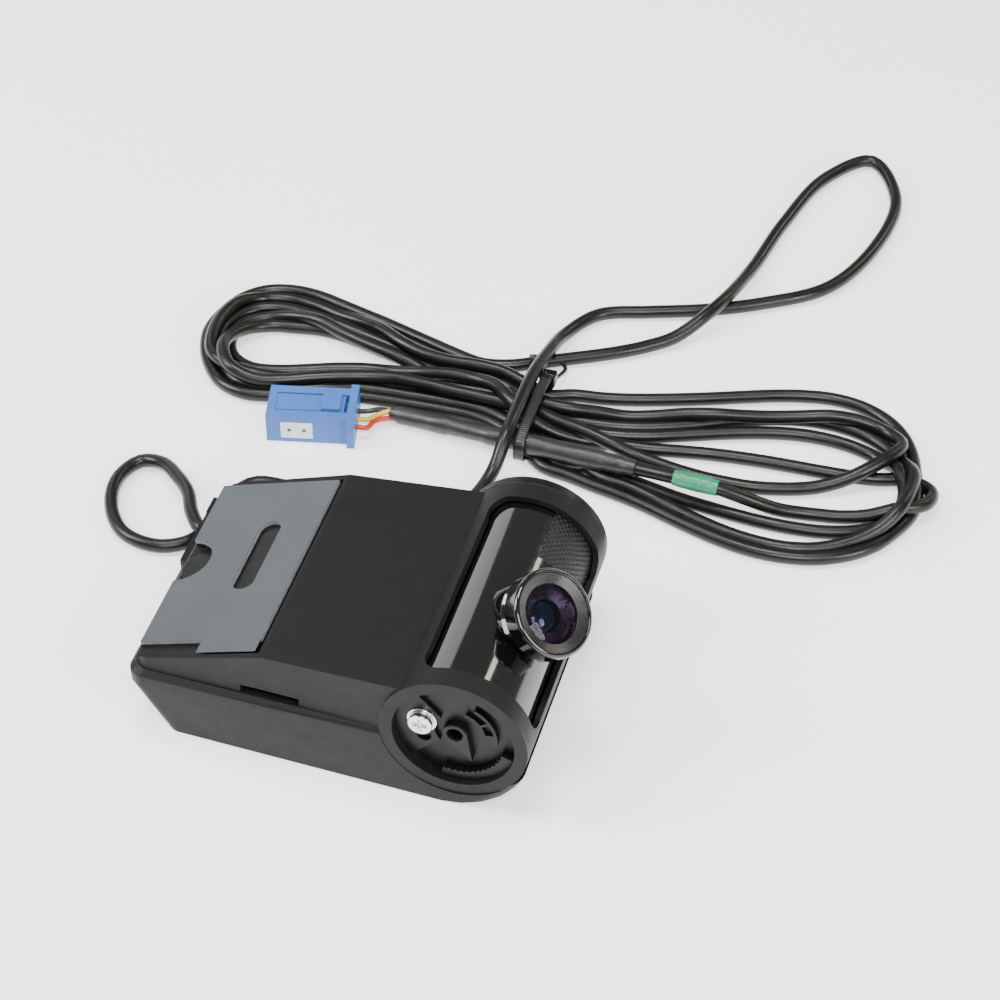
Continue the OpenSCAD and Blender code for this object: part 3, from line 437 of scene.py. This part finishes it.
# How wide each CAD node's edges are rounded, in mm
WIDTH = {
    "lower_shell": 0.55, "upper_cover": 0.35, "far_end_cap": 0.3, "index_scale": 0.1, "lock_tab": 0.12,
    "lens_barrel": 0.2, "barrel_end_plate": 0.15, "angle_pointer": 0.25, "grip_panel": 0.12,
    "pod_housing": 0.2, "pod_bezel": 0.12, "lens_hood": 0.1, "front_lens": 0, "lens_baffle": 0.05,
    "inner_lens": 0, "lock_screw": 0.3, "lock_washer": 0.06, "mount_bracket": 0.15, "adhesive_pad": 0.1,
    "release_liner": 0.05, "release_button": 0.18, "connector_housing": 0.3, "connector_retainer": 0.08,
    "connector_latch": 0.25, "terminals": 0.1, "case_screws": 0.15, "cord_gland": 0.2,
    "processor_shield": 0.2, "card_socket": 0.1, "cord_socket": 0.15, "main_board": 0.05,
    "lens_tube": 0.1, "friction_washer": 0.03, "sensor_board": 0.05, "image_sensor": 0.05,
    "backup_capacitors": 0.3, "flex_cable": 0.03,
}
piece = {n: refine(n, w, mat="inner_glass" if n == "inner_lens" else None) for n, w in WIDTH.items()}


# ---------------------------------------------------------------- cord's pieces
def tube_between(name, p0, p1, profile, sides=28, wobble=0.0, seed=1):
    """A lathed sleeve from p0 to p1, in mm; profile holds (place 0..1, radius) pairs."""
    rnd = random.Random(seed)
    p0, p1 = Vector(p0), Vector(p1)
    d = (p1 - p0).normalized()
    s = d.cross(Vector((0, 0, 1))).normalized()
    u = s.cross(d)
    bm = bmesh.new()
    rings = []
    phase = [rnd.uniform(0, 6.28) for _ in range(4)]
    for t, r in profile:
        c = p0.lerp(p1, t)
        ring = []
        for k in range(sides):
            w = 2 * math.pi * k / sides
            uneven = math.sin(2 * w + phase[0] + 9 * t) + 0.6 * math.sin(3 * w + phase[1] - 14 * t)
            rr = r * (1 + wobble * uneven)
            q = c + rr * (math.cos(w) * s + math.sin(w) * u)
            ring.append(bm.verts.new(at(*q)))
        rings.append(ring)
    for r0, r1 in zip(rings, rings[1:]):
        for k in range(sides):
            bm.faces.new((r0[k], r0[(k + 1) % sides], r1[(k + 1) % sides], r1[k]))
    bm.faces.new(rings[0][::-1])
    bm.faces.new(rings[-1])
    bmesh.ops.recalc_face_normals(bm, faces=bm.faces)
    o = obj(name, bm)
    return soften(o, 0, angle=50)


def stepped(steps, edge=0.012):
    """Profile pairs with short ramps between (place, radius) steps."""
    out = []
    for i, (t, r) in enumerate(steps):
        if i:
            out.append((t - edge, steps[i - 1][1] + 0.02))
            out.append((t + edge, r))
        else:
            out.append((t, r))
    out.append((1.0, steps[-1][1] - 0.1))
    fine = []
    for (t0, r0), (t1, r1) in zip(out, out[1:]):
        n = max(1, int((t1 - t0) / 0.03))
        fine += [(t0 + (t1 - t0) * k / n, r0 + (r1 - r0) * k / n) for k in range(n)]
    return fine + [out[-1]]


sleeve = tube_between("sleeve_piece", (-24.6, 85.5, 2.75), (12.9, 80.96, 5.4),
                      stepped([(0, 2.0), (0.05, 2.35), (0.3, 2.5), (0.42, 2.3), (0.7, 2.55), (0.86, 2.3)]),
                      wobble=0.02, seed=3)
dress(sleeve, "sleeve_pvc", "body", "sleeve_pvc", "wrap_sleeve")
shrink = tube_between("shrink_piece", (10.5, 81.2, 5.3), (41.6, 78.2, 6.65),
                      stepped([(0, 2.3), (0.06, 2.66), (0.55, 2.6), (0.72, 2.45), (0.9, 2.2)]),
                      wobble=0.018, seed=5)
dress(shrink, "sleeve_pvc", "body", "sleeve_pvc", "heat_shrink")
tape = tube_between("tape_piece", (51.8, 75.93, 8.4), (63.2, 75.0, 8.4),
                    stepped([(0, 1.98), (0.12, 2.12), (0.34, 2.2), (0.6, 2.13), (0.83, 2.05)], 0.006),
                    wobble=0.008, seed=8)
dress(tape, "tape_green", "body", "tape_green", "marker_tape")


# The connector's centre and yaw
PLUG_X, PLUG_Y, PLUG_YAW = -43.2, 77.7, math.radians(12)


def on_plug(x, y, z):
    """A point of the connector's own frame, in mm, in the design's frame."""
    c, s = math.cos(PLUG_YAW), math.sin(PLUG_YAW)
    return (PLUG_X + x * c - y * s, PLUG_Y + x * s + y * c, z)


# Key holes of the retainer: discs of the housing's blue at half strength, painted shade inside the holes
for k, x in enumerate((-5.4, -1.6)):
    dot = tube_between("key_hole_%d" % k, on_plug(x, -6.03, 3.8), on_plug(x, -5.6, 3.8),
                       [(0, 0.36), (0.1, 0.5), (0.9, 0.52), (1, 0.4)], 20)
    dress(dot, "hole_shade_navy", "body", "plug_white")

# Wires: slack between the connector and the sleeve. Each has its place across the connector, its finish
# and its offsets where the three are bunched
for k, (y, mat, dy, dz) in enumerate(((-3, "wire_red", -1.25, -0.55), (0, "wire_yellow", 0, 1.0),
                                      (3, "wire_black", 1.25, -0.55))):
    pts = [on_plug(8.5, y, 3.4), on_plug(11.6, y, 3.4), on_plug(14, y * 1.02, 3.2 + 0.2 * k),
           (-27.8, 83.3 + dy * 1.3, 2.5 + 0.55 * k), (-24, 85.4 + dy, 2.8 + dz), (-20.5, 85.0 + dy, 3.0 + dz)]
    stands_for = ("lead_wires",) if k == 0 else ()
    wire, _ = curve("wire_%d" % k, pts, 0.68, 0.7)
    dress(wire, mat, "body", "wire_red", *stands_for)


# Cable tie: a flat strap round the hank, its head and its trimmed tail
STRAP_SECTION = (
    (-1, -0.35), (-0.86, -0.5), (0.86, -0.5), (1, -0.35), (1, 0.35), (0.8, 0.5),
    (0.62, 0.5), (0.56, 0.36), (-0.56, 0.36), (-0.62, 0.5), (-0.8, 0.5), (-1, 0.35),
)


def strap(name, x, path, width, thick):
    """A flat band swept along a closed path of (y, z) points, in mm."""
    bm = bmesh.new()
    n = len(path)
    rings = []
    for i, (y, z) in enumerate(path):
        y0, z0 = path[i - 1]
        y1, z1 = path[(i + 1) % n]
        t = Vector((y1 - y0, z1 - z0)).normalized()
        nrm = Vector((t.y, -t.x))
        ring = []
        for dx, dn in STRAP_SECTION:
            q = Vector((y, z)) + nrm * dn * thick
            ring.append(bm.verts.new(at(x + dx * width / 2, q.x, max(q.y, 0.02))))
        rings.append(ring)
    m = len(rings[0])
    for i in range(n):
        r0, r1 = rings[i], rings[(i + 1) % n]
        for k in range(m):
            bm.faces.new((r0[k], r0[(k + 1) % m], r1[(k + 1) % m], r1[k]))
    bmesh.ops.recalc_face_normals(bm, faces=bm.faces)
    return soften(obj(name, bm), 0, angle=38)


# The strap's path is a rounded rectangle: its centre, half-sizes and squareness
TIE_Y, TIE_Z, TIE_HALF_Y, TIE_HALF_Z, SQUARE = 91.7, 4.62, 14.1, 4.2, 3.4
loop = []
for i in range(64):
    w = 2 * math.pi * i / 64
    cy, cz = math.cos(w), math.sin(w)
    k = 1.0 / (abs(cy) ** SQUARE + abs(cz) ** SQUARE) ** (1 / SQUARE)
    loop.append((TIE_Y + TIE_HALF_Y * k * cy, TIE_Z + TIE_HALF_Z * k * cz))
tie = strap("tie_strap", 11.3, loop, 2.7, 0.8)
dress(tie, "tie_nylon", "body", "tie_nylon", "cable_tie")


def chunk(name, lo, hi, width):
    """A moulded block between two corners, in mm, with rounded edges and a recess in its top."""
    bm = bmesh.new()
    size = [hi[i] - lo[i] for i in range(3)]
    centre = Vector([(lo[i] + hi[i]) / 2 for i in range(3)])
    bmesh.ops.create_cube(bm, size=1.0)
    for v in bm.verts:
        v.co = Vector((v.co.x * size[0], v.co.y * size[1], v.co.z * size[2]))
    top = max(bm.faces, key=lambda f: f.calc_center_median().z)
    bmesh.ops.inset_region(bm, faces=[top], thickness=min(size[0], size[1]) * 0.22)
    bmesh.ops.translate(bm, verts=top.verts, vec=(0, 0, -0.45 * size[2]))
    for v in bm.verts:
        v.co = at(*(centre + v.co))
    bmesh.ops.recalc_face_normals(bm, faces=bm.faces)
    return soften(obj(name, bm), width)


head = chunk("tie_head", (9.2, 104.2, 4.6), (13.4, 107.6, 8.2), 0.4)
dress(head, "tie_nylon", "body", "tie_nylon")
TIE_TAIL = [
    (11.0, 106.5, 6.4), (7.5, 110.5, 7.2), (4.4, 113.8, 5.8), (6.5, 116.6, 3.6),
    (10.6, 118.2, 2.2), (13.2, 116.0, 2.0), (13.0, 111.5, 3.2), (12.2, 107.5, 4.8),
]
tail_strip, _ = curve("tie_tail", TIE_TAIL, 0.55, 0.8)
dress(tail_strip, "tie_nylon", "body", "tie_nylon")

dress(cord, "cord_pvc", "body", "cord_pvc", "cord_lead", "cord_hank", "cord_tail")

# ---------------------------------------------------------------- floor and light
bm = bmesh.new()
bmesh.ops.create_grid(bm, x_segments=8, y_segments=8, size=3.0)
floor = obj("floor", bm)
floor.location.z = -0.0002
paper = material("floor", (0.9, 0.9, 0.91), 0.7, shade=0.01, patch=60.0, grain=2.0, depth=0.01,
                 Emission_Color=(1, 1, 1, 1), Emission_Strength=0.75)
floor.data.materials.append(paper)


def area(name, place, aim, size, power, size_y, tint=(1, 1, 1)):
    """A soft box: its place and aim in metres, its width, power in watts, and height."""
    light = bpy.data.lights.new(name, "AREA")
    light.energy = power
    light.color = tint
    light.shape = "RECTANGLE"
    light.size = size
    light.size_y = size_y
    o = bpy.data.objects.new(name, light)
    bpy.context.scene.collection.objects.link(o)
    o.location = place
    o.rotation_euler = (Vector(aim) - Vector(place)).to_track_quat("-Z", "Y").to_euler()


area("left", (-0.8, -0.2, 0.75), (0, 0.05, 0.01), 0.4, 15.0, 0.7)
area("front", (0.25, -0.75, 0.95), (0, 0.06, 0.0), 0.5, 13.0, 0.5)
area("right", (0.85, -0.4, 0.5), (0.03, 0, 0.02), 0.3, 8.0, 0.5)
area("high", (-0.1, 0.1, 1.3), (0.0, 0.1, 0.0), 0.4, 12.0, 0.4)
area("rim", (-0.62, 0.72, 0.5), (0.02, 0.0, 0.02), 0.3, 1.1, 0.5)
area("strip", (0.5, 0.78, 0.62), (0.03, 0.0, 0.03), 0.09, 2.0, 0.6, (1.0, 0.93, 0.8))
world = bpy.data.worlds.new("studio")
bpy.context.scene.world = world
world.use_nodes = True
world.node_tree.nodes["Background"].inputs["Color"].default_value = (1, 1, 1, 1)
world.node_tree.nodes["Background"].inputs["Strength"].default_value = 0.4
